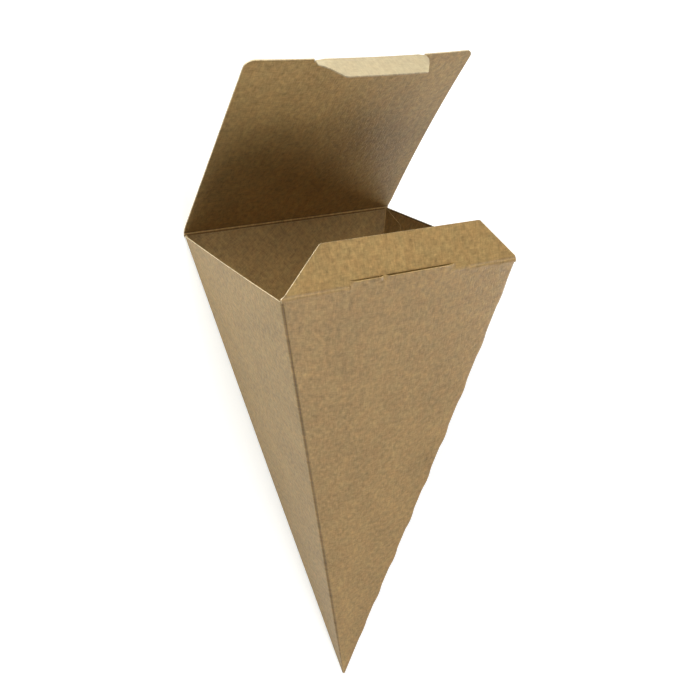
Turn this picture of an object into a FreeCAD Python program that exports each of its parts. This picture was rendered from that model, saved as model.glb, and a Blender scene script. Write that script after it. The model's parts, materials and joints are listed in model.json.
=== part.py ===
"""Kraft board cone box with a hinged lid, lying on its back panel as it comes to rest.

One cut blank is folded into four tapering panels that meet at a blunt tip. The lid is creased to the
back panel, a locking tongue to the lid, and a flap with a lock slit to the front panel.
"""
import FreeCAD, Part
import math
import os

# Driving sizes of the board, in millimetres
BOARD = 0.45                  # thickness of the kraft board
CREASE_RADIUS = 1.1           # outside radius of a folded corner
FOLD_GAP = 0.2                # free air between the two sides of a hinged crease
FIT_GAP = 0.3                 # free air beside a tongue or a strip that passes a cut edge

# Driving sizes of the cone, to the outside of the board
MOUTH_WIDTH = 87.0            # left to right
MOUTH_DEPTH = 84.0            # front panel to back panel
CONE_HEIGHT = 192.0           # mouth to the point where the four panels would meet
TIP_BLUNT = 1.6               # how much of that point the tip lacks
TIP_SOLID = 2.6               # where the inside starts, above that point

# Glue tab, inside the corner of the back and right panels
TAB_WIDTH = 12.0
TAB_SLOPE = 20.0              # its top edge falls by this angle, in degrees
TAB_FOOT = 40.0               # height of its lower end above the tip

# Cut and crease rule down the corner of the front and right panels
CUT_LENGTH = 10.0
CUT_PITCH = 20.0
CUT_START = 13.8              # mouth corner to the middle of the first cut
CUT_END = 20.0                # least distance from the middle of the last cut to the tip

# Lid
LID_INSET = 2.8               # how much each side of the free end stands in from the hinged end
LID_CORNER = 3.0
LID_FOLD = 52.5               # from the back panel's own plane, in degrees
LID_RISE = 0.5                # how far above level the closed lid stays, in degrees

# Locking tongue on the lid's free edge
TONGUE_WIDTH = 39.9
TONGUE_FREE_WIDTH = 30.2
TONGUE_NECK = 1.6             # straight part of its sides
TONGUE_LENGTH = 10.6
TONGUE_CORNER = 1.0
TONGUE_FOLD = 76.5            # from the lid's own plane, in degrees

# Front flap and its lock slit
FLAP_SIDE_GAP = 0.3           # how far its foot stays in from each corner
FLAP_HEIGHT = 14.3
FLAP_TOP_WIDTH = 58.7
FLAP_CORNER = 1.2
FLAP_FOLD = 26.8              # from the front panel's own plane, in degrees
SLIT_WIDTH = 40.5
SLIT_HEIGHT = 2.15            # slit above the crease
SLIT_GAP = 0.15               # width of the cut

# Sizes that follow from those above
half_board = BOARD / 2
front_slope = math.atan(MOUTH_DEPTH / 2 / CONE_HEIGHT)
side_slope = math.atan(MOUTH_WIDTH / 2 / CONE_HEIGHT)
panel_length = math.hypot(CONE_HEIGHT, MOUTH_DEPTH / 2)
rim_height = CONE_HEIGHT - half_board - FOLD_GAP
above_mouth = CONE_HEIGHT + 2 * SLIT_HEIGHT
crease_y = panel_length / 3
tip_y = crease_y - panel_length

X_AXIS = FreeCAD.Vector(1, 0, 0)
Z_AXIS = FreeCAD.Vector(0, 0, 1)


def save(shape, node):
    """Check that a node is sound and write it to its file."""
    if not shape.isValid():
        raise ValueError(node + " is not a valid solid")
    shape.exportStep("parts/" + node + ".step")
    print(node, "solids", len(shape.Solids), "volume", round(shape.Volume, 1))


def turned(shape, pivot, degrees):
    """Turn a shape about a crease that runs left to right through pivot."""
    copy = shape.copy()
    copy.rotate(pivot, X_AXIS, degrees)
    return copy


def laid_down(shape):
    """Turn the upright cone onto its back panel, whose centroid is the origin."""
    copy = turned(shape, FreeCAD.Vector(0, 0, 0), math.degrees(front_slope) - 90)
    copy.translate(FreeCAD.Vector(0, tip_y, 0))
    return copy


def rounded_outline(points, radii):
    """Closed outline in the XY plane whose corners are arcs of the given radii."""
    count = len(points)
    stretches = []
    for i in range(count):
        corner = points[i]
        before = (points[i - 1] - corner).normalize()
        after = (points[(i + 1) % count] - corner).normalize()
        if radii[i] <= 0:
            stretches.append((corner, corner, corner))
            continue
        half_angle = before.getAngle(after) / 2
        reach = radii[i] / math.tan(half_angle)
        middle = (before + after).normalize() * (radii[i] / math.sin(half_angle) - radii[i])
        stretches.append((corner + before * reach, corner + middle, corner + after * reach))
    edges = []
    for i in range(count):
        start, middle, end = stretches[i]
        if radii[i] > 0:
            edges.append(Part.Arc(start, middle, end).toShape())
        following = stretches[(i + 1) % count][0]
        edges.append(Part.LineSegment(end, following).toShape())
    return Part.Wire(edges)


def sheet(points, radii):
    """Board of the given outline, its middle plane in the XY plane."""
    corners = [FreeCAD.Vector(x, y, 0) for x, y in points]
    panel = Part.Face(rounded_outline(corners, radii)).extrude(Z_AXIS * BOARD)
    panel.translate(FreeCAD.Vector(0, 0, -half_board))
    return panel


def crease_roll(x_from, x_to):
    """Rounded edge of a hinged board, about the crease through the origin."""
    start = FreeCAD.Vector(x_from, 0, 0)
    return Part.makeCylinder(half_board, x_to - x_from, start, X_AXIS)


def box_between(low, high):
    """Box from its lowest corner to its highest corner."""
    size = [high[i] - low[i] for i in range(3)]
    return Part.makeBox(size[0], size[1], size[2], FreeCAD.Vector(*low))


def cone_section(height, inset, radius):
    """Outline of the upright cone at a height, with its sides moved in and its corners rounded."""
    half_x = MOUTH_WIDTH / 2 * height / CONE_HEIGHT - inset / math.cos(side_slope)
    half_y = MOUTH_DEPTH / 2 * height / CONE_HEIGHT - inset / math.cos(front_slope)
    corners = [(-half_x, -half_y), (half_x, -half_y), (half_x, half_y), (-half_x, half_y)]
    points = [FreeCAD.Vector(x, y, height) for x, y in corners]
    return rounded_outline(points, [radius] * 4)


def side_face(low_edge, high_edge):
    """Face between the same edge of two sections: flat for a panel, curved for a folded corner."""
    if not isinstance(low_edge.Curve, Part.Line):
        return Part.makeRuledSurface(low_edge, high_edge)
    low = [low_edge.valueAt(place) for place in low_edge.ParameterRange]
    high = [high_edge.valueAt(place) for place in high_edge.ParameterRange]
    return Part.Face(Part.makePolygon([low[0], low[1], high[1], high[0], low[0]]))


def cone_solid(low, high, inset, radius):
    """Solid cone between two heights, its corner radius growing from almost nothing at the tip."""
    heights = [low, high]
    if radius > 0:
        heights = [low, min(8 * radius / math.sin(front_slope), high / 2), high]
    sections = []
    for height in heights:
        share = min(1.0, height / heights[-2])
        sections.append(cone_section(height, inset, radius * share))
    faces = [Part.Face(sections[0]), Part.Face(sections[-1])]
    for lower, upper in zip(sections, sections[1:]):
        for low_edge, high_edge in zip(lower.Edges, upper.Edges):
            faces.append(side_face(low_edge, high_edge))
    shell = Part.Shell(faces)
    shell.sewShape()
    return Part.Solid(shell)


def panel_point(height, y):
    """Point on the inside face of the upright cone's right panel."""
    x = MOUTH_WIDTH / 2 * height / CONE_HEIGHT - BOARD / math.cos(side_slope)
    return FreeCAD.Vector(x, y, height)


def back_corner_y(height):
    """Where the inside faces of the back and right panels meet, at a height."""
    return MOUTH_DEPTH / 2 * height / CONE_HEIGHT - BOARD / math.cos(front_slope)


def glue_tab():
    """Tab creased to the back panel and glued inside the right panel."""
    fall = TAB_WIDTH * math.tan(math.radians(TAB_SLOPE))
    outline = [
        panel_point(rim_height, back_corner_y(rim_height)),
        panel_point(rim_height - fall, back_corner_y(rim_height) - TAB_WIDTH),
        panel_point(TAB_FOOT + TAB_WIDTH, back_corner_y(TAB_FOOT + TAB_WIDTH) - TAB_WIDTH),
        panel_point(TAB_FOOT, back_corner_y(TAB_FOOT)),
    ]
    face = Part.Face(Part.makePolygon(outline + outline[:1]))
    inward = FreeCAD.Vector(-math.cos(side_slope), 0, math.sin(side_slope))
    return face.extrude(inward * BOARD)


def cut_edges(walls):
    """Where the rule cuts the front right corner, the board stays sharp in a low arc."""
    along = FreeCAD.Vector(MOUTH_WIDTH / 2, -MOUTH_DEPTH / 2, CONE_HEIGHT)
    corner_length = along.Length
    along.normalize()
    front_normal = FreeCAD.Vector(0, -math.cos(front_slope), -math.sin(front_slope))
    side_normal = FreeCAD.Vector(math.cos(side_slope), 0, -math.sin(side_slope))
    outward = (front_normal + side_normal).normalize()
    across = along.cross(outward)
    arc_height = CREASE_RADIUS * (math.sqrt(2) - 1)
    arc_radius = ((CUT_LENGTH / 2) ** 2 + arc_height ** 2) / (2 * arc_height)
    width = 2 * CREASE_RADIUS
    arcs = []
    place = CUT_START
    while place < corner_length - CUT_END:
        crown = along * (corner_length - place)
        centre = crown - outward * arc_radius - across * width
        disc = Part.makeCylinder(arc_radius, 2 * width, centre, across)
        arcs.append(walls.common(disc))
        place += CUT_PITCH
    return arcs


def make_cone_body():
    """Four panels, the glue tab and the strip below the lock slit, as one folded piece."""
    inside = cone_solid(TIP_SOLID, above_mouth, BOARD, 0.0)
    rounded = cone_solid(TIP_BLUNT, above_mouth, 0.0, CREASE_RADIUS).cut(inside)
    sharp = cone_solid(TIP_BLUNT, above_mouth, 0.0, 0.0).cut(inside)
    below_rim = box_between(
        (-MOUTH_WIDTH, -MOUTH_DEPTH, 0),
        (MOUTH_WIDTH, MOUTH_DEPTH, rim_height),
    )
    strip_top = CONE_HEIGHT + SLIT_HEIGHT * math.cos(front_slope)
    strip_room = box_between(
        (-SLIT_WIDTH / 2, -MOUTH_DEPTH, rim_height - BOARD),
        (SLIT_WIDTH / 2, 0, strip_top),
    )
    pieces = [rounded.common(strip_room), glue_tab()]
    pieces += cut_edges(sharp.common(below_rim))
    body = rounded.common(below_rim).fuse(pieces).removeSplitter()
    return laid_down(body)


def mouth_crease(y_side):
    """Point on the back (+1) or front (-1) crease, in the middle of the board, laid down."""
    half_depth = MOUTH_DEPTH / 2 - half_board / math.cos(front_slope)
    up = math.sin(front_slope)
    along = math.cos(front_slope)
    y = y_side * half_depth * up + CONE_HEIGHT * along + tip_y
    z = -y_side * half_depth * along + CONE_HEIGHT * up
    return FreeCAD.Vector(0, y, z)


def lid_reach():
    """Lid crease to tongue crease, so that the closed tongue clears the front panel's inside."""
    between = (mouth_crease(-1) - mouth_crease(1)).Length
    inset = (BOARD + FIT_GAP) / math.cos(front_slope)
    rise = between * math.sin(math.radians(LID_RISE))
    return between - inset + rise * math.tan(front_slope)


def make_lid():
    """Lid in the plane of the floor, hinged edge at the origin."""
    reach = lid_reach()
    wide = MOUTH_WIDTH / 2
    narrow = wide - LID_INSET
    edge = reach + half_board
    notch = TONGUE_WIDTH / 2 + SLIT_GAP
    notch_foot = reach - half_board - FOLD_GAP
    outline = [
        (-wide, 0), (wide, 0), (narrow, edge), (notch, edge),
        (notch, notch_foot), (-notch, notch_foot), (-notch, edge), (-narrow, edge),
    ]
    radii = [0, 0, LID_CORNER, 0, 0, 0, 0, LID_CORNER]
    return sheet(outline, radii).fuse(crease_roll(-wide, wide)).removeSplitter()


def make_tongue():
    """Locking tongue in the plane of the floor, hinged edge at the origin."""
    wide = TONGUE_WIDTH / 2
    narrow = TONGUE_FREE_WIDTH / 2
    outline = [
        (-wide, 0), (wide, 0), (wide, TONGUE_NECK), (narrow, TONGUE_LENGTH),
        (-narrow, TONGUE_LENGTH), (-wide, TONGUE_NECK),
    ]
    radii = [0, 0, TONGUE_CORNER, TONGUE_CORNER, TONGUE_CORNER, TONGUE_CORNER]
    return sheet(outline, radii).fuse(crease_roll(-wide, wide)).removeSplitter()


def make_flap():
    """Front flap in the plane of the floor, hinged edge at the origin, notched at the slit."""
    foot = MOUTH_WIDTH / 2 - FLAP_SIDE_GAP
    top = FLAP_TOP_WIDTH / 2
    notch = SLIT_WIDTH / 2 + SLIT_GAP
    notch_top = SLIT_HEIGHT + SLIT_GAP
    outline = [
        (-foot, 0), (-notch, 0), (-notch, notch_top), (notch, notch_top),
        (notch, 0), (foot, 0), (top, FLAP_HEIGHT), (-top, FLAP_HEIGHT),
    ]
    radii = [0, 0, 0, 0, 0, 0, FLAP_CORNER, FLAP_CORNER]
    rolls = [crease_roll(-foot, -notch), crease_roll(notch, foot)]
    return sheet(outline, radii).fuse(rolls).removeSplitter()


def main():
    """Fold every piece to its rest angle and write it."""
    os.makedirs("parts", exist_ok=True)
    origin = FreeCAD.Vector(0, 0, 0)
    back_crease = mouth_crease(1)
    front_crease = mouth_crease(-1)
    save(make_cone_body(), "cone_body")

    lid = turned(make_lid(), origin, LID_FOLD)
    lid.translate(back_crease)
    save(lid, "lid")

    tongue = turned(make_tongue(), origin, TONGUE_FOLD)
    tongue.translate(FreeCAD.Vector(0, lid_reach(), 0))
    tongue = turned(tongue, origin, LID_FOLD)
    tongue.translate(back_crease)
    save(tongue, "lock_tongue")

    front_panel_angle = 2 * math.degrees(front_slope)
    flap = turned(make_flap(), origin, front_panel_angle - FLAP_FOLD)
    flap.translate(front_crease)
    save(flap, "front_flap")


main()
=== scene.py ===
# Looks of the open cone box of brown kraft board. Lengths are in millimetres until a mesh is made.
import json
import logging
import math
from collections.abc import Callable
from dataclasses import dataclass
from enum import IntEnum

import bmesh
import bpy
from mathutils import Matrix, Vector


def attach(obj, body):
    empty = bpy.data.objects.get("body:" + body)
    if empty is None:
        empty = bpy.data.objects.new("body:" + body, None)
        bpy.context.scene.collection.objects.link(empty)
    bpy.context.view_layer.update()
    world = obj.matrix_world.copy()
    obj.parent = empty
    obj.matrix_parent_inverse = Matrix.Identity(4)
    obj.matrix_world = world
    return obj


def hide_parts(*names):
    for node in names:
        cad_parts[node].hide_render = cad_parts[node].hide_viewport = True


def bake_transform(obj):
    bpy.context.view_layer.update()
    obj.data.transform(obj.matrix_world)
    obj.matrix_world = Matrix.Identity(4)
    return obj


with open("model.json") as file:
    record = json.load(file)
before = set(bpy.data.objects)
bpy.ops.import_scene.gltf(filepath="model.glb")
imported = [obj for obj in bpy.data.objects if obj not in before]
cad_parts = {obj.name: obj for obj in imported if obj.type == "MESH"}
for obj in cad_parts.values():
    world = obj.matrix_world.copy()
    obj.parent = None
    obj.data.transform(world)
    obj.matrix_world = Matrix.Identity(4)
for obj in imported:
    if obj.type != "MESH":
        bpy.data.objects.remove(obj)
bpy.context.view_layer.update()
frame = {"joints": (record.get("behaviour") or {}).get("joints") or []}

LOG = logging.getLogger("cone_box")
MM = 0.001
UV_PER_MM = 0.01


class Side(IntEnum):
    """Material slots that every piece of board has, in this order."""

    OUTSIDE = 0
    INSIDE = 1
    EDGE = 2


class Panel(IntEnum):
    """Panels of the cone, in the order in which the wall goes round."""

    FRONT = 0
    RIGHT = 1
    BACK = 2
    LEFT = 3


class Corner(IntEnum):
    """Folded corners of the cone, in the order in which the wall goes round."""

    FRONT_RIGHT = 0
    BACK_RIGHT = 1
    BACK_LEFT = 2
    FRONT_LEFT = 3


def hinge_axis(name: str) -> Vector:
    """Point on a hinge's axis, in the middle of the board."""
    found = next(each for each in frame["joints"] if each["name"] == name)
    return Vector(found["pos_m"]) / MM


def slope(degrees: float) -> Vector:
    """Direction in the plane of symmetry, at an angle above the +Y axis."""
    angle = math.radians(degrees)
    return Vector((0, math.cos(angle), math.sin(angle)))


def hump(offset: float, width: float) -> float:
    """Smooth bump of height 1 that fades over a width."""
    return math.exp(-((offset / width) ** 2))


@dataclass(frozen=True)
class Grain:
    """One layer of marks in the board.

    Args:
        across_mm: Size of a mark across the grain.
        along_mm: Size of a mark along the grain.
        strength: How much it changes the brightness, from its darkest to its lightest.
        detail: How many finer octaves it has.
        roughness: How strong the finer octaves are.
    """

    across_mm: float
    along_mm: float
    strength: float
    detail: float = 2.0
    roughness: float = 0.6


@dataclass(frozen=True)
class KraftFinish:
    """Uncoated brown board with pulp clouds and fibres, and painted shade and painted highlight at creases
    and folds.

    Args:
        name: Name of the material.
        warm: Colour of the redder pulp.
        cool: Colour of the greyer pulp.
        shade_tone: What the painted shade multiplies the colour by.
        highlight_tone: What the painted highlight multiplies the colour by.
        roughness: How matt the face is.
        specular: How strong its gloss is.
        relief_mm: Distance of the fibres' bump.
        relief_strength: How strongly that bump shows.
        pulp_range: Range of the pulp's noise that runs from one colour to the other.
        pulp: Marks that mix the two colours.
        clouds: Large soft marks in the brightness.
        hairs: Fibres along the grain.
        cross_hairs: Fibres across the grain.
        specks: Small marks in the brightness.
    """

    name: str
    warm: tuple[float, float, float]
    cool: tuple[float, float, float]
    shade_tone: tuple[float, float, float] = (0.42, 0.36, 0.28)
    highlight_tone: tuple[float, float, float] = (1.90, 2.00, 2.30)
    roughness: float = 0.42
    specular: float = 0.5
    relief_mm: float = 0.2
    relief_strength: float = 0.7
    pulp_range: tuple[float, float] = (0.32, 0.68)
    pulp: Grain = Grain(4.0, 4.6, 1.0, 4.0)
    clouds: Grain = Grain(13.0, 17.0, 0.17)
    hairs: Grain = Grain(0.50, 2.4, 0.26)
    cross_hairs: Grain = Grain(2.0, 0.50, 0.22)
    specks: Grain = Grain(1.7, 1.7, 0.44, 4.0)

    def material(self) -> bpy.types.Material:
        """Build the node tree.

        Returns:
            The material, ready for a piece.
        """
        material = bpy.data.materials.new(self.name)
        material.use_nodes = True
        tree = material.node_tree
        shader = tree.nodes["Principled BSDF"]
        shader.inputs["Roughness"].default_value = self.roughness
        shader.inputs["Specular IOR Level"].default_value = self.specular
        blank = tree.nodes.new("ShaderNodeUVMap")
        blank.uv_map = "blank"
        pulp = self.stretched(tree, self.noise(tree, blank, self.pulp))
        colour = self.mixed(tree, "MIX", pulp, self.warm, self.cool)
        brightness = self.brightness(tree, blank)
        toned = self.mixed(tree, "MULTIPLY", 1.0, colour, brightness)
        tree.links.new(self.creased(tree, toned), shader.inputs["Base Color"])
        tree.links.new(self.relief(tree, brightness), shader.inputs["Normal"])
        return material

    def noise(self, tree: bpy.types.NodeTree, blank: bpy.types.Node, layer: Grain) -> bpy.types.NodeSocket:
        """One layer of noise on the flat blank.

        Args:
            tree: Node tree that it goes into.
            blank: UV map node of the flat blank.
            layer: Size of its marks.

        Returns:
            The noise's value, from 0 to 1.
        """
        scaled = tree.nodes.new("ShaderNodeVectorMath")
        scaled.operation = "MULTIPLY"
        per_mark = 1.0 / UV_PER_MM
        scaled.inputs[1].default_value = (per_mark / layer.across_mm, per_mark / layer.along_mm, 1.0)
        tree.links.new(blank.outputs["UV"], scaled.inputs[0])
        noise = tree.nodes.new("ShaderNodeTexNoise")
        noise.noise_dimensions = "2D"
        noise.inputs["Scale"].default_value = 1.0
        noise.inputs["Detail"].default_value = layer.detail
        noise.inputs["Roughness"].default_value = layer.roughness
        tree.links.new(scaled.outputs["Vector"], noise.inputs["Vector"])
        return noise.outputs[0]

    def stretched(self, tree: bpy.types.NodeTree, value: bpy.types.NodeSocket) -> bpy.types.NodeSocket:
        """The middle range of a noise, stretched to run from 0 to 1."""
        stretch = tree.nodes.new("ShaderNodeMapRange")
        low, high = self.pulp_range
        stretch.inputs["From Min"].default_value = low
        stretch.inputs["From Max"].default_value = high
        tree.links.new(value, stretch.inputs["Value"])
        return stretch.outputs["Result"]

    def brightness(self, tree: bpy.types.NodeTree, blank: bpy.types.Node) -> bpy.types.NodeSocket:
        """Clouds, hairs and specks, added up round a brightness of 1."""
        layers = (self.clouds, self.hairs, self.cross_hairs, self.specks)
        total = None
        for layer in layers:
            part = tree.nodes.new("ShaderNodeMath")
            part.operation = "MULTIPLY_ADD"
            part.inputs[1].default_value = layer.strength * 2
            part.inputs[2].default_value = 1.0 / len(layers) - layer.strength
            tree.links.new(self.noise(tree, blank, layer), part.inputs[0])
            if total is None:
                total = part.outputs[0]
                continue
            added = tree.nodes.new("ShaderNodeMath")
            tree.links.new(total, added.inputs[0])
            tree.links.new(part.outputs[0], added.inputs[1])
            total = added.outputs[0]
        return total

    def mixed(
        self, tree: bpy.types.NodeTree, blend: str, factor: object, first: object, second: object
    ) -> bpy.types.NodeSocket:
        """Mix two colours.

        Args:
            tree: Node tree that it goes into.
            blend: Blend mode.
            factor: Share of the second colour, as a number or a socket.
            first: First colour, as three numbers or a socket.
            second: Second colour, as three numbers or a socket.

        Returns:
            The mixed colour.
        """
        mix = tree.nodes.new("ShaderNodeMix")
        mix.data_type = "RGBA"
        mix.blend_type = blend
        for socket, value in ((mix.inputs[0], factor), (mix.inputs[6], first), (mix.inputs[7], second)):
            if isinstance(value, bpy.types.NodeSocket):
                tree.links.new(value, socket)
            elif isinstance(value, tuple):
                socket.default_value = (*value, 1.0)
            else:
                socket.default_value = value
        return mix.outputs[2]

    def creased(self, tree: bpy.types.NodeTree, colour: bpy.types.NodeSocket) -> bpy.types.NodeSocket:
        """Multiply in the painted shade and the painted highlight that two vertex attributes hold."""
        # painted shade darkens the colour, painted highlight lightens it
        for name, tone in (("painted_shade", self.shade_tone), ("painted_highlight", self.highlight_tone)):
            amount = tree.nodes.new("ShaderNodeAttribute")
            amount.attribute_name = name
            shade = self.mixed(tree, "MIX", amount.outputs["Fac"], (1.0, 1.0, 1.0), tone)
            colour = self.mixed(tree, "MULTIPLY", 1.0, colour, shade)
        return colour

    def relief(self, tree: bpy.types.NodeTree, height: bpy.types.NodeSocket) -> bpy.types.NodeSocket:
        """Fine bump of the fibres."""
        bump = tree.nodes.new("ShaderNodeBump")
        bump.inputs["Strength"].default_value = self.relief_strength
        bump.inputs["Distance"].default_value = self.relief_mm * MM
        tree.links.new(height, bump.inputs["Height"])
        return bump.outputs["Normal"]


@dataclass
class Board:
    """The stock that every piece is cut from: its thickness, its finishes and how a piece is made of it.

    Args:
        thickness: Thickness of the board.
        outside: Finish of the side that faces out.
        inside: Finish of the side that faces in.
        edge: Finish of a cut edge.
        painted_sheen: Smoother finish of the tongue's outside, with a paler, less saturated colour that is
            painted sheen.
        crease_reach: How far the bend at a crease reaches to each side.
        sharp_angle: Angle from which an edge is shaded sharp, in degrees.
    """

    thickness: float = 0.45
    outside: KraftFinish = KraftFinish("kraft_outside", (0.424, 0.256, 0.094), (0.408, 0.266, 0.101))
    inside: KraftFinish = KraftFinish("kraft_inside", (0.420, 0.262, 0.099), (0.404, 0.273, 0.107))
    edge: KraftFinish = KraftFinish("kraft_cut_edge", (0.47, 0.36, 0.21), (0.50, 0.395, 0.25))
    # paler copy of the outside finish: painted sheen on the tongue
    painted_sheen: KraftFinish = KraftFinish(
        "kraft_painted_sheen", (0.365, 0.272, 0.150), (0.360, 0.276, 0.156), roughness=0.6, specular=1.0,
        relief_mm=0.1, clouds=Grain(13.0, 17.0, 0.08), hairs=Grain(0.50, 2.4, 0.15),
        cross_hairs=Grain(2.0, 0.50, 0.12), specks=Grain(1.7, 1.7, 0.22, 4.0),
    )
    crease_reach: float = 1.2
    sharp_angle: float = 38.0

    def __post_init__(self) -> None:
        """Make the materials."""
        self.materials = [self.outside.material(), self.inside.material(), self.edge.material()]
        self.painted_sheen_material = self.painted_sheen.material()

    def thicken(self, bm: bmesh.types.BMesh, skin: Side, copy: Side, place: Callable) -> None:
        """Give a skin its thickness, with a cut edge round its border.

        Args:
            bm: Mesh of the skin.
            skin: Which side of the board the skin is.
            copy: Which side its copy becomes.
            place: Gives the place of a vertex of the copy.
        """
        skin_faces = bm.faces[:]
        grown = bmesh.ops.extrude_face_region(bm, geom=skin_faces, use_keep_orig=True)["geom"]
        copies = {each for each in grown if isinstance(each, bmesh.types.BMFace)}
        for vert in grown:
            if isinstance(vert, bmesh.types.BMVert):
                vert.co = place(vert)
        for face in bm.faces:
            face.material_index = copy if face in copies else Side.EDGE
        for face in skin_faces:
            face.material_index = skin

    def map_blank(self, bm: bmesh.types.BMesh, spot: Callable) -> None:
        """Write the UV map, which is a place on the flat blank.

        Args:
            bm: Mesh to map.
            spot: Gives a vertex's place on the flat blank.
        """
        layer = bm.loops.layers.uv.new("blank")
        for face in bm.faces:
            for loop in face.loops:
                across, along = spot(loop.vert)
                loop[layer].uv = (across * UV_PER_MM, along * UV_PER_MM)

    def piece(self, name: str, bm: bmesh.types.BMesh) -> bpy.types.Object:
        """Turn a finished bmesh into a piece in metres.

        Args:
            name: Name of the piece.
            bm: Its mesh, which is freed.

        Returns:
            The piece, linked into the scene.
        """
        bmesh.ops.transform(bm, matrix=Matrix.Scale(MM, 4), verts=bm.verts)
        bmesh.ops.recalc_face_normals(bm, faces=bm.faces)
        mesh = bpy.data.meshes.new(name)
        bm.to_mesh(mesh)
        bm.free()
        for material in self.materials:
            mesh.materials.append(material)
        mesh.shade_smooth()
        mesh.set_sharp_from_angle(angle=math.radians(self.sharp_angle))
        piece = bpy.data.objects.new(name, mesh)
        bpy.context.scene.collection.objects.link(piece)
        LOG.info("%s: %d faces", name, len(mesh.polygons))
        return piece

    def cutout(
        self, outline: list[tuple[float, float]], radii: list[float], slice_mm: float = 3.0
    ) -> bmesh.types.BMesh:
        """A flat piece in the XY plane: its outline, sliced so that it can bend, and thickened.

        Args:
            outline: Its corners.
            radii: The radius of each corner.
            slice_mm: How far apart the slices are.

        Returns:
            The mesh, with its outside down.
        """
        bm = bmesh.new()
        corners = [bm.verts.new((x, y, -self.thickness / 2)) for x, y in outline]
        bm.faces.new(corners)
        for corner, radius in zip(corners, radii):
            if radius > 0:
                self.round_corner(bm, corner, radius)
        xs = [x for x, _ in outline]
        ys = [y for _, y in outline]
        self.slice(bm, Vector((1, 0, 0)), min(xs), max(xs), slice_mm)
        self.slice(bm, Vector((0, 1, 0)), min(ys), max(ys), slice_mm)
        self.map_blank(bm, lambda vert: (vert.co.x, vert.co.y))
        up = Vector((0, 0, self.thickness))
        self.thicken(bm, Side.OUTSIDE, Side.INSIDE, lambda vert: vert.co + up)
        return bm

    def round_corner(self, bm: bmesh.types.BMesh, corner: bmesh.types.BMVert, radius: float) -> None:
        """Round one corner of a flat outline.

        Args:
            bm: Mesh of the flat outline.
            corner: The corner.
            radius: Its new radius.
        """
        first, second = [edge.other_vert(corner).co - corner.co for edge in corner.link_edges]
        offset = radius / math.tan(first.angle(second) / 2)
        bmesh.ops.bevel(
            bm, geom=[corner], offset=offset, affect="VERTICES", segments=8, profile=0.5, material=-1
        )

    def slice(self, bm: bmesh.types.BMesh, normal: Vector, low: float, high: float, step: float) -> None:
        """Cut a flat mesh across a direction at even steps.

        Args:
            bm: Mesh to cut.
            normal: Direction across the cuts.
            low: Where the mesh starts in that direction.
            high: Where it ends.
            step: How far apart the cuts are.
        """
        count = max(2, round((high - low) / step))
        for place in range(1, count):
            spot = normal * (low + (high - low) * place / count)
            everything = bm.verts[:] + bm.edges[:] + bm.faces[:]
            bmesh.ops.bisect_plane(bm, geom=everything, dist=1e-4, plane_co=spot, plane_no=normal)


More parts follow.
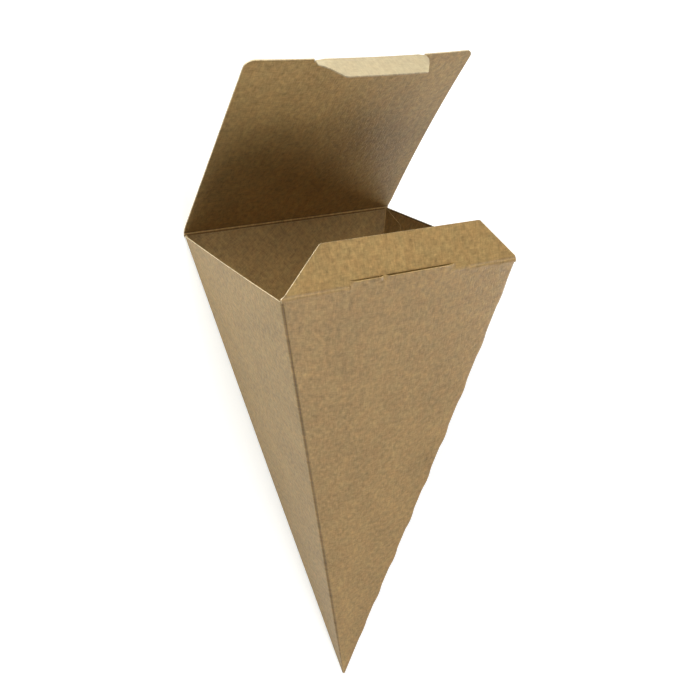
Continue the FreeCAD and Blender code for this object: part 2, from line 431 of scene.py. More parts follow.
@dataclass
class Crease:
    """The bent line between two boards, with the bead that the creasing rule leaves inside the fold.

    Args:
        board: The stock.
        hinge: Name of the joint at this crease.
        fixed: Direction from the crease into the board that stays.
        moving: Direction from the crease into the board that turns.
        low: Where the crease starts, at its left end.
        high: Where the crease ends, at its right end.
        taper_low: How far the left end draws in over the reach of the moving board.
        taper_high: How far the right end draws in over the reach of the moving board.
        outside_marks: How dark the painted shade lines and how light the painted highlight line are outside
            the fold.
        inside_marks: The same inside the fold.
        bead: Height of the bead.
        bead_outside: Share of that height that shows outside the fold.
        bead_width: Width of the bead, as a share of the bend.
        shade_lines_at: Where the painted shade lines lie, from 0 in the middle to 1 at the ends of the bend.
        mark_width: Width of the painted shade lines and the painted highlight line, on the same scale.
        rows: Rows of faces across the bend.
        column_mm: How long a face is along the bend.
        warp: How far a point springs from its place on the straight crease.
    """

    board: Board
    hinge: str
    fixed: Vector
    moving: Vector
    low: float
    high: float
    taper_low: float = 0.0
    taper_high: float = 0.0
    outside_marks: tuple[float, float] = (0.03, 0.30)
    inside_marks: tuple[float, float] = (0.95, 0.90)
    bead: float = 0.19
    bead_outside: float = 0.6
    bead_width: float = 0.16
    shade_lines_at: float = 0.58
    mark_width: float = 0.26
    rows: int = 18
    column_mm: float = 3.0
    warp: Callable = lambda point: Vector((0, 0, 0))

    def middle(self, share: float) -> tuple[Vector, Vector]:
        """Middle line of the bend.

        Args:
            share: From 0 at the fixed end to 1 at the moving end.

        Returns:
            The point and the direction to the inside of the fold there.
        """
        start = self.fixed * self.board.crease_reach
        end = self.moving * self.board.crease_reach
        point = start * (1 - share) ** 2 + end * share**2
        along = (end * share - start * (1 - share)).normalized()
        inward = Vector((0, -along.z, along.y))
        if inward.dot(start + end) < 0:
            inward = -inward
        return hinge_axis(self.hinge) + point, inward

    def surface(self, place: float, share: float, inside: bool) -> Vector:
        """A point on one face of the bend.

        Args:
            place: From 0 at its left end to 1 at its right end.
            share: From 0 at the fixed end to 1 at the moving end.
            inside: Whether it is the face inside the fold.

        Returns:
            The point.
        """
        drawn_in = max(0.0, share - 0.5) * 2
        low = self.low + self.taper_low * drawn_in
        high = self.high - self.taper_high * drawn_in
        point, inward = self.middle(share)
        crown = hump(share - 0.5, self.bead_width) * self.bead
        half = self.board.thickness / 2
        height = half + crown if inside else crown * self.bead_outside - half
        return point + inward * height + Vector((low + (high - low) * place, 0, 0))

    def marks(self, share: float, inside: bool) -> tuple[float, float]:
        """Painted shade lines each side of the bead and a painted highlight line on it, as two amounts."""
        dark, light = self.inside_marks if inside else self.outside_marks
        offset = abs(share - 0.5) * 2
        painted_shade = dark * hump(offset - self.shade_lines_at, self.mark_width)
        return painted_shade, light * hump(offset, self.mark_width)

    def piece(self, name: str) -> bpy.types.Object:
        """Build the crease.

        Args:
            name: Name of the piece.

        Returns:
            The piece.
        """
        bm = bmesh.new()
        columns = max(2, round((self.high - self.low) / self.column_mm))
        bmesh.ops.create_grid(bm, x_segments=columns, y_segments=self.rows, size=0.5)
        place = bm.verts.layers.float.new("place")
        share = bm.verts.layers.float.new("share")
        painted_shade = bm.verts.layers.float.new("painted_shade")
        painted_highlight = bm.verts.layers.float.new("painted_highlight")

        def put(vert: bmesh.types.BMVert, inside: bool) -> Vector:
            vert[painted_shade], vert[painted_highlight] = self.marks(vert[share], inside)
            return self.surface(vert[place], vert[share], inside)

        for vert in bm.verts:
            vert[place] = vert.co.x + 0.5
            vert[share] = vert.co.y + 0.5
            vert.co = put(vert, False)
        length = 2 * self.board.crease_reach
        self.board.map_blank(bm, lambda vert: (vert.co.x, vert[share] * length))
        self.board.thicken(bm, Side.OUTSIDE, Side.INSIDE, lambda vert: put(vert, True))
        for vert in bm.verts:
            vert.co += self.warp(vert.co)
        return self.board.piece(name, bm)

    def blend(self, piece: bpy.types.Object, fixed_body: str, moving_body: str) -> None:
        """Bake the crease's transform into its mesh.

        Args:
            piece: The crease's piece.
            fixed_body: Body that stays. Not used.
            moving_body: Body that turns. Not used.
        """
        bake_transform(piece)


@dataclass
class Cone:
    """Four tapering panels folded from one blank, lying on the back panel.

    Args:
        width: Mouth, left to right.
        depth: Mouth, front panel to back panel.
        height: Mouth to the point where the panels would meet.
        blunt: How much of that point the tip lacks.
        solid_tip: Where the inside starts, above that point.
        fold_radius: Outside radius of a folded corner.
        rim_drop: How far the cut rims lie below the creases.
        left_drop: How much lower the left rim lies.
        right_bow: How far the front right fold springs out at half height.
        left_bow: How far the back left fold does.
        rim_bow: How far the left rim springs out.
        strip_left: Where the strip under the lock slit ends on the left.
        strip_right: Where it ends on the right.
        strip_rise: How far that strip rises above the crease.
        flap_fold: Angle of the flap from the front panel's own plane, in degrees.
        slit_right: Where the slit starts to close up on the right.
        strip_lean_rise: How much higher the strip's edge is where it leans back.
        strip_zone: How far below the creases the strip starts to lean.
        lean_left: Reach of the strip's lean at its left end.
        lean_right: Reach of its lean before the slit's right end.
        lean_bend: Length of the bend by which it leans.
        nick_at: Where a nick still joins the strip to the flap.
        nick_width: Width of that nick.
        groove_depth: How deep a fold is grooved, as a share of its radius.
        groove_width: Width of that groove, in degrees round the fold.
        bead_depth: How far the bead inside a fold stands in, as a share of its radius.
        bead_width: Width of that bead, in degrees round the fold.
        cut_length: Length of a cut in the front right fold.
        cut_pitch: From one cut to the next.
        cut_start: From the mouth to the middle of the first cut.
        cut_end: How much of that fold's end at the tip has no cut.
        cut_rise: How far a cut lifts the fold at its ends, and how much more at half height.
        fade_height: Height below which the folds lose their radius.
        least_radius: Smallest radius inside a fold.
        most_radius: Largest radius, as a share of the smaller half size.
        fold_dark: How dark the painted shade in a fold's groove is.
        fold_darker: How much darker it is near the mouth.
        dark_at: Where it is darkest, as a share of the height.
        dark_reach: How far that reaches.
        line_width: Width of that painted shade line, in degrees round the fold.
        right_fold_dark: How dark the painted shade on the front right fold is between its cuts.
        inside_dark: How dark the painted shade beside the bead inside a fold is, and how light the painted
            highlight on it is.
        back_shade: How dark the painted shade on the back panel is beside the back right fold.
        back_shade_width: Reach of that shade, as a share of half the panel.
        strip_light: How light the painted highlight on the leaning strip is.
        panel_columns: Columns of faces in a panel.
        corner_columns: Columns of faces in a fold.
        rows: Rows of faces from tip to mouth.
        collar: Height of the collar of finer rows at the mouth.
        collar_rows: How many of the rows are in it.
        tip_reach: How far up the tip's thicker inside reaches.
        tab_width: Width of the glue tab.
        tab_angle: Slant of its ends, in degrees.
        tab_foot: Height of its foot.
        tab_thickness: How thick its pressed edge stands out.
        tab_bead: Radius of the bead along its crease, at the foot and at the mouth.
        tab_highlight: How strong the painted highlight on that bead is.
        tab_grain: Where the tab lies across the blank.
    """

    board: Board
    width: float = 87.0
    depth: float = 84.0
    height: float = 192.0
    blunt: float = 1.6
    solid_tip: float = 2.6
    fold_radius: float = 1.1
    rim_drop: float = 0.425
    left_drop: float = 0.55
    right_bow: float = 1.2
    left_bow: float = 0.4
    rim_bow: float = 0.35
    strip_left: float = -20.25
    strip_right: float = 24.35
    strip_rise: float = 1.8
    flap_fold: float = 26.8
    slit_right: float = 19.0
    strip_lean_rise: float = 0.27
    strip_zone: float = 2.0
    lean_left: float = 0.8
    lean_right: float = 1.6
    lean_bend: float = 1.2
    nick_at: float = -7.9
    nick_width: float = 0.9
    groove_depth: float = 0.30
    groove_width: float = 13.0
    bead_depth: float = 0.7
    bead_width: float = 22.0
    cut_length: float = 10.0
    cut_pitch: float = 20.0
    cut_start: float = 13.8
    cut_end: float = 20.0
    cut_rise: tuple[float, float] = (0.55, 0.35)
    fade_height: float = 40.0
    least_radius: float = 0.5
    most_radius: float = 0.6
    fold_dark: float = 0.62
    fold_darker: float = 0.2
    dark_at: float = 0.82
    dark_reach: float = 14.0
    line_width: float = 16.0
    right_fold_dark: float = 0.18
    inside_dark: tuple[float, float] = (0.5, 0.5)
    back_shade: float = 0.42
    back_shade_width: float = 0.14
    strip_light: float = 0.3
    panel_columns: int = 16
    corner_columns: int = 14
    rows: int = 124
    collar: float = 3.0
    collar_rows: int = 10
    tip_reach: float = 20.0
    tab_width: float = 12.0
    tab_angle: float = 20.0
    tab_foot: float = 40.0
    tab_thickness: float = 0.2
    tab_bead: tuple[float, float] = (0.1, 0.28)
    tab_highlight: float = 0.7
    tab_grain: float = 60.0

    def __post_init__(self) -> None:
        """Work out the slopes, the rim and the columns."""
        self.front_slope = math.atan(self.depth / 2 / self.height)
        self.side_slope = math.atan(self.width / 2 / self.height)
        self.panel_length = math.hypot(self.height, self.depth / 2)
        self.tip_y = self.panel_length / 3 - self.panel_length
        self.rim = self.height - self.rim_drop
        self.stations = self.make_stations()

    def laid(self, point: Vector) -> Vector:
        """Turn a point of the upright cone, its tip at the origin, onto the floor."""
        sine = math.sin(self.front_slope)
        cosine = math.cos(self.front_slope)
        y = point.y * sine + point.z * cosine + self.tip_y
        return Vector((point.x, y, point.z * sine - point.y * cosine))

    def make_stations(self) -> list[tuple[int, bool, float]]:
        """Places round the wall: side number, whether it is the corner after that side, and the share."""
        half = self.half_sizes(self.rim, 0.0)[0] - self.fold_radius
        sliver = 0.02
        step_mm = 0.8
        nick_step_mm = 0.5
        front = [self.strip_left - sliver, self.strip_left, self.strip_right, self.strip_right + sliver]
        front += [self.strip_left + step_mm * step for step in range(1, 4)]
        front += [self.slit_right + step_mm * step for step in range(-1, 4)]
        front += [self.nick_at + nick_step_mm * step for step in range(-5, 6)]
        stations = []
        for side in range(4):
            shares = [-1 + 2 * step / self.panel_columns for step in range(self.panel_columns)]
            if side == Panel.FRONT:
                shares = sorted(set(shares) | {x / half for x in front})
            stations += [(side, False, share) for share in shares]
            stations += [(side, True, step / self.corner_columns) for step in range(self.corner_columns)]
        return stations

    def half_sizes(self, z: float, inset: float) -> tuple[float, float]:
        """Half the width and half the depth at a height, with the sides moved in."""
        half_x = self.width / 2 * z / self.height - inset / math.cos(self.side_slope)
        half_y = self.depth / 2 * z / self.height - inset / math.cos(self.front_slope)
        return max(half_x, 0.05), max(half_y, 0.05)

    def top(self, station: tuple[int, bool, float]) -> float:
        """Height of the wall's cut edge at a station."""
        side, corner, share = station
        below_crease = self.height - self.board.crease_reach * math.cos(self.front_slope)
        if side == Panel.LEFT:
            return self.rim - self.left_drop * (1 - share if corner else 1)
        if side == Panel.BACK and corner:
            return self.rim - self.left_drop * share
        if corner or side == Panel.RIGHT:
            return self.rim
        x = share * (self.half_sizes(self.rim, 0.0)[0] - self.fold_radius)
        if side == Panel.FRONT and self.strip_left - 0.01 <= x <= self.strip_right + 0.01:
            rise = self.strip_rise + self.strip_lean_rise * self.lean(x)
            return self.height + rise * math.cos(self.front_slope)
        return below_crease

    def lean(self, x: float) -> float:
        """How far the strip leans back with the flap, from 0 where it stands free to 1 where they meet."""
        left = hump(x - self.strip_left, self.lean_left)
        right = 1.0 if x > self.slit_right else hump(x - self.slit_right, self.lean_right)
        return max(left, right, hump(x - self.nick_at, self.nick_width))

    def leaned(self, point: Vector) -> Vector:
        """Bend the strip about the crease, where it leans back with the flap."""
        axis = hinge_axis("flap_hinge")
        above = (point - axis).dot(slope(2 * math.degrees(self.front_slope)))
        bend = min(1.0, max(0.0, above / self.lean_bend + 0.5))
        turned = math.radians(-self.flap_fold) * self.lean(point.x) * bend * bend * (3 - 2 * bend)
        turn = Matrix.Rotation(turned, 4, "X")
        pivot = Vector((0, axis.y, axis.z))
        return turn @ (point - pivot) + pivot

    def cut_lift(self, z: float) -> float:
        """How far a cut of the cut and crease rule lifts the corner at a height, from 0 to 1."""
        stretch = math.sqrt(self.height**2 + (self.width / 2) ** 2 + (self.depth / 2) ** 2) / self.height
        length = self.height * stretch
        from_mouth = length - z * stretch
        number = round((from_mouth - self.cut_start) / self.cut_pitch)
        centre = self.cut_start + max(0, number) * self.cut_pitch
        if centre > length - self.cut_end:
            return 0.0
        arc = max(0.0, 1 - ((from_mouth - centre) * 2 / self.cut_length) ** 2)
        ends, middle = self.cut_rise
        return arc * (ends + middle * math.sin(math.pi * z / self.height))

    def wall_point(self, station: tuple[int, bool, float], z: float, inset: float) -> Vector:
        """Point on the outside or inside skin, laid down.

        Args:
            station: Place round the wall.
            z: Height in the upright cone.
            inset: 0 on the outside skin, the board's thickness on the inside skin.

        Returns:
            The point.
        """
        side, corner, share = station
        half_x, half_y = self.half_sizes(z, inset)
        rim_x, rim_y = self.half_sizes(min(z, self.rim), inset)
        fade = min(1.0, z / self.fade_height)
        radius = max(self.fold_radius - inset, self.least_radius) * fade
        radius = min(radius, self.most_radius * min(half_x, half_y))
        quarter = Matrix.Rotation(math.radians(90 * side), 3, "Z")
        along = rim_x if side in (Panel.FRONT, Panel.BACK) else rim_y
        out = half_y if side in (Panel.FRONT, Panel.BACK) else half_x
        if corner:
            angle = math.radians(90 * share - 90)
            reach = radius * self.corner_shape(Corner(side), share, z, inset)
            across = along - radius + reach * math.cos(angle)
            local = Vector((across, reach * math.sin(angle) - out + radius, z))
        else:
            local = Vector(((along - radius) * share, -out, z))
        point = quarter @ local
        point.x += self.bow(point, z)
        if side == Panel.FRONT and not corner and z > self.height - self.strip_zone:
            return self.leaned(self.laid(point))
        return self.laid(point)

    def corner_shape(self, corner: Corner, share: float, z: float, inset: float) -> float:
        """How far a folded corner departs from a round one, as a factor on its radius."""
        angle = math.radians(90 * share)
        if corner == Corner.FRONT_RIGHT and inset == 0:
            sharp = 1 / max(math.cos(angle), math.sin(angle))
            return 1 + (sharp - 1) * self.cut_lift(z)
        if inset == 0:
            return 1 - self.groove_depth * hump(90 * share - 45, self.groove_width)
        return 1 - self.bead_depth * hump(90 * share - 45, self.bead_width)

    def bow(self, point: Vector, z: float) -> float:
        """How far the wall springs out sideways, most at half height of two opposite corners."""
        rise = math.sin(math.pi * min(1.0, z / self.height))
        half_x, half_y = self.half_sizes(z, 0)
        rightness = (1 + point.x / half_x) / 2
        frontness = (1 - point.y / half_y) / 2
        right = self.right_bow * rightness * frontness
        left = self.left_bow * (1 - rightness) * (1 - frontness)
        rim = self.rim_bow * (1 - rightness) * max(0.0, 1 - (point.y / half_y) ** 2)
        return rise * (right - left) - rim * (z / self.height) ** 4

    def height_at(self, share: float, top: float) -> float:
        """Height of a row: only the rows of the collar make up for a raised or lowered edge."""
        collar = self.height - self.collar
        last = self.collar_rows / self.rows
        if share <= 1 - last:
            return self.blunt + (collar - self.blunt) * share / (1 - last)
        return collar + (top - collar) * (share - 1 + last) / last

    def blank_spot(self, station: tuple[int, bool, float], z: float) -> tuple[float, float]:
        """Place on the flat blank, where the panels fan out from the tip."""
        side, corner, share = station
        front_fan = math.atan(self.width / 2 / self.panel_length)
        side_length = math.hypot(self.height, self.width / 2)
        side_fan = math.atan(self.depth / 2 / side_length)
        turned = side * (front_fan + side_fan)
        half_fan = front_fan if side in (Panel.FRONT, Panel.BACK) else side_fan
        turned += half_fan if corner else half_fan * share
        distance = z / self.height * side_length
        return distance * math.sin(turned), distance * math.cos(turned)

    def shell(self) -> bpy.types.Object:
        """The wall: outside and inside skin, cut rim and blunt tip."""
        bm = bmesh.new()
        columns = len(self.stations)
        bmesh.ops.create_grid(bm, x_segments=columns, y_segments=self.rows, size=0.5)
        column = bm.verts.layers.int.new("column")
        level = bm.verts.layers.float.new("level")
        painted_shade = bm.verts.layers.float.new("painted_shade")
        painted_highlight = bm.verts.layers.float.new("painted_highlight")
        for vert in bm.verts:
            vert[column] = round((vert.co.x + 0.5) * columns)
            station = self.stations[vert[column] % columns]
            vert[level] = self.height_at(round((vert.co.y + 0.5) * self.rows) / self.rows, self.top(station))
            vert[painted_shade] = self.painted_shade(station, vert[level])
            vert[painted_highlight] = self.painted_highlight(station, vert[level])
            vert.co = self.wall_point(station, vert[level], 0.0)
        self.board.map_blank(
            bm, lambda vert: self.blank_spot(self.stations[vert[column] % columns], vert[level])
        )
        bmesh.ops.remove_doubles(bm, verts=bm.verts, dist=1e-5)
        below = 2 * self.blunt
        foot = [edge for edge in bm.edges if edge.is_boundary and max(v[level] for v in edge.verts) < below]
        bmesh.ops.contextual_create(bm, geom=foot)
        thickness = self.board.thickness

        def inner(vert: bmesh.types.BMVert) -> Vector:
            rise = (self.solid_tip - self.blunt) * max(0.0, 1 - (vert[level] - self.blunt) / self.tip_reach)
            station = self.stations[vert[column] % columns]
            vert[painted_shade], vert[painted_highlight] = self.inner_marks(station, vert[level])
            return self.wall_point(station, vert[level] + rise, thickness)

        self.board.thicken(bm, Side.OUTSIDE, Side.INSIDE, inner)
        # cut edges of the front and right panels take the inside finish, darker than the edge finish; on the
        # right rim this is painted shade
        plain = {(Panel.FRONT, False), (Panel.RIGHT, False)}
        for face in bm.faces:
            sides = {self.stations[vert[column] % columns][:2] for vert in face.verts}
            if face.material_index == Side.EDGE and plain & sides:
                face.material_index = Side.INSIDE
        return self.board.piece("cone_shell", bm)

    def inner_marks(self, station: tuple[int, bool, float], z: float) -> tuple[float, float]:
        """Painted shade and painted highlight on the inside: shade each side of the bead in each fold and
        highlight on it, shade on the back panel beside the back right fold, and a painted shaded rim on the
        right.
        """
        side, corner, share = station
        if side == Panel.BACK and not corner:
            return self.back_shade * hump(share + 1, self.back_shade_width), 0.0
        if not corner:
            return (1.0 if side == 1 and z > self.rim - 0.3 else 0.0), 0.0
        angle = 90 * share - 45
        dark, light = self.inside_dark
        return dark * hump(abs(angle) - 42, self.line_width), light * hump(angle, 20)

    def painted_highlight(self, station: tuple[int, bool, float], z: float) -> float:
        """Painted highlight on the strip where it leans back with the flap."""
        side, corner, share = station
        if side != Panel.FRONT or corner:
            return 0.0
        return self.strip_light * hump(z - self.height, 0.5) * self.lean(share * self.width / 2)

    def painted_shade(self, station: tuple[int, bool, float], z: float) -> float:
        """Painted shade at a station: a line down the middle of each folded corner, weaker between the cuts
        of the front right one, and the right panel's rim.
        """
        side, corner, share = station
        if not corner:
            return 1.0 if side == 1 and z > self.rim - 0.05 else 0.0
        middle = hump(90 * share - 45, self.line_width)
        if side == Corner.FRONT_RIGHT:
            return self.right_fold_dark * middle * (1 - self.cut_lift(z))
        darker = self.fold_darker * hump(z - self.dark_at * self.height, self.dark_reach)
        return middle * (self.fold_dark + darker)

    def glue_tab(self) -> bpy.types.Object:
        """Tab creased to the back panel and glued inside the right panel."""
        width = self.tab_width
        fall = width * math.tan(math.radians(self.tab_angle))
        foot = self.tab_foot
        inset = self.board.thickness / math.cos(self.side_slope)

        def corner(z: float, forward: float) -> Vector:
            edge = self.depth / 2 * z / self.height - self.board.thickness / math.cos(self.front_slope)
            return Vector((self.width / 2 * z / self.height - inset, edge - forward, z))

        outline = [
            corner(self.rim, 0.0),
            corner(self.rim - fall, width),
            corner(foot + width, width),
            corner(foot, 0.0),
        ]
        bm = bmesh.new()
        verts = [bm.verts.new(point) for point in outline]
        bm.faces.new(verts)
        self.board.slice(bm, Vector((0, 0, 1)), foot, self.rim, 4.0)
        self.board.slice(bm, Vector((0, 1, 0)), 0.0, self.depth / 2, 4.0)
        self.board.map_blank(bm, lambda vert: (vert.co.y + self.tab_grain, vert.co.z))
        inward = Vector((-math.cos(self.side_slope), 0, math.sin(self.side_slope))) * self.tab_thickness
        self.board.thicken(bm, Side.OUTSIDE, Side.INSIDE, lambda vert: vert.co + inward)
        painted_highlight = bm.verts.layers.float.new("painted_highlight")
        top, bottom = outline[0] + inward / 2, outline[3] + inward / 2
        way = top - bottom
        place = Matrix.Translation((top + bottom) / 2) @ way.to_track_quat("Z", "Y").to_matrix().to_4x4()
        thin, thick = self.tab_bead
        bead = bmesh.ops.create_cone(
            bm, cap_ends=True, segments=10, radius1=thin, radius2=thick, depth=way.length, matrix=place
        )
        # the bead carries a painted highlight
        for vert in bead["verts"]:
            vert[painted_highlight] = self.tab_highlight
        for face in bm.faces:
            face.material_index = Side.INSIDE
        for vert in bm.verts:
            z = vert.co.z
            vert.co.x += self.bow(vert.co, z)
            vert.co = self.laid(vert.co)
        return self.board.piece("glue_tab", bm)

    def build(self) -> None:
        """Build and dress every piece of the cone."""
        shell = self.shell()
        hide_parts("cone_body")
        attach(shell, "cone")
        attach(self.glue_tab(), "cone")


@dataclass
class Lid:
    """Lid creased to the back panel, with the locking tongue on its free edge.

    Args:
        board: The stock.
        half_width: Half its width at the crease.
        inset: How much each side of the free end stands in.
        reach: Lid crease to tongue crease.
        corner: Radius of the free end's corners.
        fold: Angle from the back panel's own plane, in degrees.
        half_tongue: Half the tongue's width at its crease.
        tongue_end_left: Left end of the tongue's free edge.
        tongue_end_right: Its right end.
        tongue_length: Tongue crease to that edge.
        tongue_neck: How far from its crease the tongue starts to narrow.
        tongue_fold: Angle of the tongue from the lid's own plane, in degrees.
        spring_aside: How far the free end springs to the right.
        tongue_aside: How much further the tongue does.
        corner_curl: How far the corners curl outward.
        side_curl: How far the middle of the right side curls outward.
        tongue_lift: How far the free edge bows out at the tongue.
        lift_from: Share of the lid's length from which it does.
        spread_right: How far the right side spreads at the crease, more at half length, more at the free end.
        spread_left: The same of the left side, at the crease and at the free end.
    """

    board: Board
    half_width: float = 43.5
    inset: float = 2.8
    reach: float = 82.93
    corner: float = 3.0
    fold: float = 52.5
    half_tongue: float = 19.95
    tongue_end_left: float = -14.3
    tongue_end_right: float = 15.1
    tongue_length: float = 10.6
    tongue_neck: float = 2.9
    tongue_fold: float = 77.5
    spring_aside: float = 2.4
    tongue_aside: float = 1.7
    tongue_lift: float = 0.6
    corner_curl: float = 1.3
    side_curl: float = 1.9
    lift_from: float = 0.88
    spread_right: tuple[float, float, float] = (0.40, 0.45, 0.65)
    spread_left: tuple[float, float] = (-0.35, 0.15)

    def __post_init__(self) -> None:
        """Look up the two creases."""
        self.hinge = hinge_axis("lid_hinge")
        self.tongue_hinge = hinge_axis("tongue_hinge")

    def warp(self, point: Vector) -> Vector:
        """How far the open lid springs from its flat, square shape.

        Args:
            point: Point of the flat, square lid.

        Returns:
            The way from there to its sprung place.
        """
        along = max(0.0, (point - self.hinge).dot(slope(self.fold)) / self.reach)
        along = min(along, 1.0)
        arch = 4 * along * (1 - along)
        across = point.x / self.half_width
        near_tongue = min(1.0, max(0.0, 1.9 - abs(across) / 0.5))
        aside = along * (self.spring_aside + self.tongue_aside * near_tongue)
        if across > 0:
            foot, middle, end = self.spread_right
            spread = foot + middle * arch + end * along
        else:
            foot, end = self.spread_left
            spread = foot + end * along
        aside += spread * min(1.0, along / 0.04) * across**2
        outward = self.corner_curl * along * across**2
        outward += self.side_curl * arch * max(0.0, across) ** 2
        at_tongue = min(1.0, max(0.0, (self.half_tongue - abs(point.x)) / 2))
        lift = self.tongue_lift * at_tongue * max(0.0, along - self.lift_from) / (1 - self.lift_from)
        return Vector((aside, 0, 0)) + slope(self.fold - 90) * outward + slope(self.fold) * lift

    def folded(self, bm: bmesh.types.BMesh, hinge: Vector, degrees: float) -> bmesh.types.BMesh:
        """Turn a flat board about its crease and carry it there.

        Args:
            bm: The flat board, its crease along the X axis.
            hinge: Point on the crease.
            degrees: Angle to turn it by.

        Returns:
            The same mesh, turned, carried and sprung.
        """
        turn = Matrix.Rotation(math.radians(degrees), 4, "X")
        bmesh.ops.transform(bm, matrix=Matrix.Translation(hinge) @ turn, verts=bm.verts)
        for vert in bm.verts:
            vert.co += self.warp(vert.co)
        return bm

    def lid_board(self) -> bpy.types.Object:
        """The lid's panel, between its two creases."""
        start = self.board.crease_reach
        edge = self.reach + self.board.thickness / 2
        notch = self.reach - start
        half = self.half_tongue + 0.05
        narrow = self.half_width - self.inset
        foot = self.half_width - self.inset * start / edge
        outline = [
            (-foot, start), (foot, start), (narrow, edge), (half, edge),
            (half, notch), (-half, notch), (-half, edge), (-narrow, edge),
        ]
        bm = self.board.cutout(outline, [0, 0, self.corner, 0, 0, 0, 0, self.corner])
        return self.board.piece("lid_board", self.folded(bm, self.hinge, self.fold))

    def tongue_board(self) -> bpy.types.Object:
        """The locking tongue beyond its crease."""
        start = self.board.crease_reach
        wide = self.half_tongue
        outline = [
            (-wide, start), (wide, start), (wide, self.tongue_neck),
            (self.tongue_end_right, self.tongue_length), (self.tongue_end_left, self.tongue_length),
            (-wide, self.tongue_neck),
        ]
        bm = self.board.cutout(outline, [0, 0, 0.6, 1.0, 1.0, 0.6], 1.5)
        turned = self.folded(bm, self.tongue_hinge, self.fold + self.tongue_fold)
        tongue = self.board.piece("tongue_board", turned)
        # the tongue's outside takes the paler copy of the finish, which is painted sheen
        tongue.data.materials[Side.OUTSIDE] = self.board.painted_sheen_material
        return tongue

    def build(self) -> None:
        """Build and dress every piece of the lid."""
        lid = self.lid_board()
        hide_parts("lid")
        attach(lid, "lid")
        tongue = self.tongue_board()
        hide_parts("lock_tongue")
        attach(tongue, "tongue")
        draw = self.inset * self.board.crease_reach / self.reach
        lid_crease = Crease(
            self.board, "lid_hinge", slope(180), slope(self.fold), -self.half_width, self.half_width,
            draw, draw, warp=self.warp,
        )
        lid_crease.blend(lid_crease.piece("lid_crease"), "cone", "lid")
        tongue_crease = Crease(
            self.board, "tongue_hinge", slope(self.fold + 180), slope(self.fold + self.tongue_fold),
            -self.half_tongue, self.half_tongue, warp=self.warp,
        )
        tongue_bend = tongue_crease.piece("tongue_crease")
        # the tongue's crease takes the same painted sheen on its outside
        tongue_bend.data.materials[Side.OUTSIDE] = self.board.painted_sheen_material
        tongue_crease.blend(tongue_bend, "lid", "tongue")


@dataclass
class Flap:
    """Flap creased to the front panel, cut loose from it along the lock slit.

    Args:
        board: The stock.
        front_angle: Angle of the front panel above the floor, in degrees.
        half_foot: Half its width at the crease.
        half_top: Half its width at the free edge.
        height: Crease to free edge.
        racked: How far the free edge stands to the right.
        corner: Radius of its corners.
        fold: Angle from the front panel's own plane, in degrees.
        slit_left: Left end of the lock slit.
        slit_right: Its right end.
        slit_top: How far above the crease the slit's upper edge is.
    """

    board: Board
    front_angle: float
    half_foot: float = 43.2
    half_top: float = 29.15
    height: float = 14.5
    racked: float = 0.6
    corner: float = 1.2
    fold: float = 26.8
    slit_left: float = -20.27
    slit_right: float = 24.37
    slit_top: float = 2.1

    def flap_board(self) -> bpy.types.Object:
        """The flap's panel beyond its creases."""
        start = self.board.crease_reach
        foot = self.half_foot - self.draw()
        outline = [
            (self.racked / 2 - foot, start), (self.slit_left, start), (self.slit_left, self.slit_top),
            (self.slit_right, self.slit_top), (self.slit_right, start), (foot + self.racked, start),
            (self.half_top + self.racked, self.height), (self.racked - self.half_top, self.height),
        ]
        bm = self.board.cutout(outline, [0, 0, 0, 0, 0, 0, self.corner, self.corner], 2.0)
        for face in bm.faces:
            if face.material_index != Side.EDGE:
                face.material_index = Side.INSIDE - face.material_index
        turn = Matrix.Rotation(math.radians(self.front_angle - self.fold), 4, "X")
        place = Matrix.Translation(hinge_axis("flap_hinge"))
        bmesh.ops.transform(bm, matrix=place @ turn, verts=bm.verts)
        return self.board.piece("flap_board", bm)

    def draw(self) -> float:
        """How far a slanted end draws in over the reach of the crease."""
        return (self.half_foot - self.half_top) * self.board.crease_reach / self.height

    def build(self) -> None:
        """Build and dress every piece of the flap."""
        flap = self.flap_board()
        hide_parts("front_flap")
        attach(flap, "flap")
        fixed = slope(self.front_angle + 180)
        moving = slope(self.front_angle - self.fold)
        left = Crease(
            self.board, "flap_hinge", fixed, moving, -self.half_foot, self.slit_left,
            self.draw() + self.racked / 2,
        )
        left.blend(left.piece("flap_crease_left"), "cone", "flap")
        right = Crease(
            self.board, "flap_hinge", fixed, moving, self.slit_right, self.half_foot, 0.0,
            self.draw() - self.racked,
        )
        right.blend(right.piece("flap_crease_right"), "cone", "flap")


@dataclass(frozen=True)
class Lamp:
    """Soft square lamp that shines on the cone.

    Args:
        name: Name of the lamp.
        toward: Direction from the cone to the lamp.
        size: Length of its side, in metres.
        power: Its power in watts.
        colour: Its colour.
    """

    name: str
    toward: tuple[float, float, float]
    size: float
    power: float
    colour: tuple[float, float, float] = (1.0, 1.0, 1.0)

    def build(self, distance: float) -> None:
        """Add the lamp at a distance in metres."""
        data = bpy.data.lights.new(self.name, "AREA")
        data.size = self.size
        data.energy = self.power
        data.color = self.colour
        lamp = bpy.data.objects.new(self.name, data)
        way = Vector(self.toward).normalized()
        turn = way.to_track_quat("Z", "Y").to_matrix().to_4x4()
        lamp.matrix_world = Matrix.Translation(way * distance) @ turn
        bpy.context.scene.collection.objects.link(lamp)


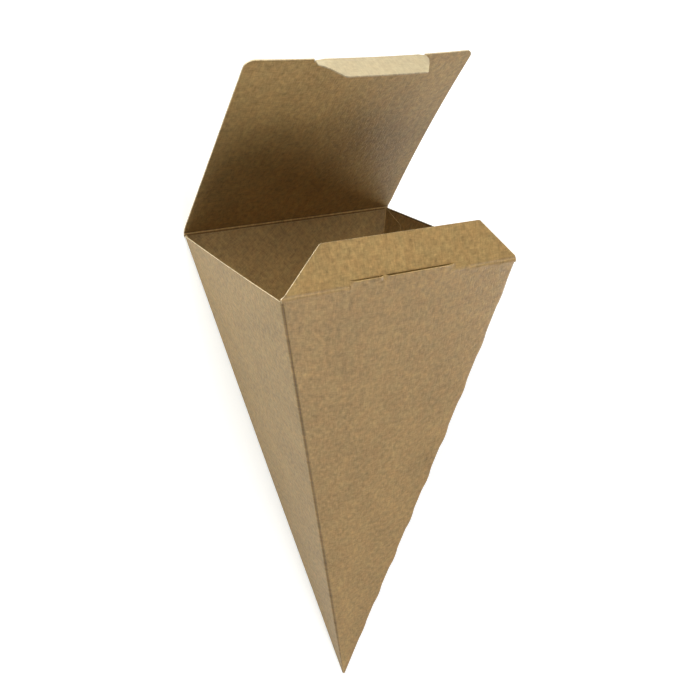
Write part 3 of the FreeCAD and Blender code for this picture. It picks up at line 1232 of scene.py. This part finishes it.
@dataclass
class Studio:
    """Floor, camera and lights.

    Args:
        camera_at: Place of the camera.
        looks: Direction that the camera looks in.
        right_hand: Direction to the right of the picture.
        lens: Focal length on a 36 mm wide sensor.
        sky: Brightness of the even light from all round.
        floor_half: Half the floor's side, in metres.
        floor_white: How white the floor is.
        floor_glow: How much the floor glows to the camera alone.
        lamp_distance: How far away the lamps are, in metres.
        lamps: The lamps.
    """

    camera_at: Vector = Vector((-146.37, 84.66, 321.62))
    looks: Vector = Vector((0.44927, -0.20311, -0.87000))
    right_hand: Vector = Vector((0.87382, -0.10281, 0.47525))
    lens: float = 46.36
    sky: float = 0.04
    floor_half: float = 2.0
    floor_white: float = 0.9
    floor_glow: float = 0.35
    lamp_distance: float = 1.0
    lamps: tuple[Lamp, ...] = (
        Lamp("back_left", (-0.45, 0.85, 0.20), 0.36, 14.3, (0.93, 1.0, 0.97)),
        Lamp("back_top", (0.00, 0.60, 0.80), 0.40, 3.7),
        Lamp("front", (0.00, -0.75, 0.66), 0.50, 3.0),
        Lamp("front_top", (0.12, -0.53, 0.84), 0.45, 1.75),
        Lamp("right", (0.85, -0.50, 0.20), 0.30, 2.8),
    )

    def camera(self) -> None:
        """Set up the camera of the photograph."""
        data = bpy.data.cameras.new("camera")
        data.lens = self.lens
        data.sensor_width = 36.0
        data.clip_start = 0.01
        camera = bpy.data.objects.new("camera", data)
        back = -self.looks.normalized()
        up = back.cross(self.right_hand).normalized()
        right = up.cross(back)
        turn = Matrix((right, up, back)).transposed().to_4x4()
        camera.matrix_world = Matrix.Translation(self.camera_at * MM) @ turn
        bpy.context.scene.collection.objects.link(camera)
        bpy.context.scene.camera = camera

    def floor(self) -> None:
        """White floor that the cone lies on."""
        bm = bmesh.new()
        bmesh.ops.create_grid(bm, x_segments=1, y_segments=1, size=self.floor_half)
        mesh = bpy.data.meshes.new("floor")
        bm.to_mesh(mesh)
        bm.free()
        material = bpy.data.materials.new("white_floor")
        material.use_nodes = True
        shader = material.node_tree.nodes["Principled BSDF"]
        white = self.floor_white
        shader.inputs["Base Color"].default_value = (white, white, white, 1.0)
        shader.inputs["Roughness"].default_value = 0.9
        shader.inputs["Specular IOR Level"].default_value = 0.0
        seen = material.node_tree.nodes.new("ShaderNodeLightPath")
        lift = material.node_tree.nodes.new("ShaderNodeMath")
        lift.operation = "MULTIPLY"
        lift.inputs[1].default_value = self.floor_glow
        material.node_tree.links.new(seen.outputs["Is Camera Ray"], lift.inputs[0])
        shader.inputs["Emission Color"].default_value = (1.0, 1.0, 1.0, 1.0)
        material.node_tree.links.new(lift.outputs[0], shader.inputs["Emission Strength"])
        mesh.materials.append(material)
        floor = bpy.data.objects.new("floor", mesh)
        bpy.context.scene.collection.objects.link(floor)

    def build(self) -> None:
        """Set up the whole studio."""
        world = bpy.data.worlds.new("sky")
        world.use_nodes = True
        background = world.node_tree.nodes["Background"]
        background.inputs["Color"].default_value = (1.0, 1.0, 1.0, 1.0)
        background.inputs["Strength"].default_value = self.sky
        bpy.context.scene.world = world
        bpy.context.scene.view_settings.view_transform = "Standard"
        self.camera()
        self.floor()
        for lamp in self.lamps:
            lamp.build(self.lamp_distance)


def main() -> None:
    """Build the part and the studio."""
    logging.basicConfig(level=logging.INFO)
    board = Board()
    cone = Cone(board)
    cone.build()
    Lid(board).build()
    Flap(board, 2 * math.degrees(cone.front_slope)).build()
    Studio().build()


if __name__ == "__main__":
    main()
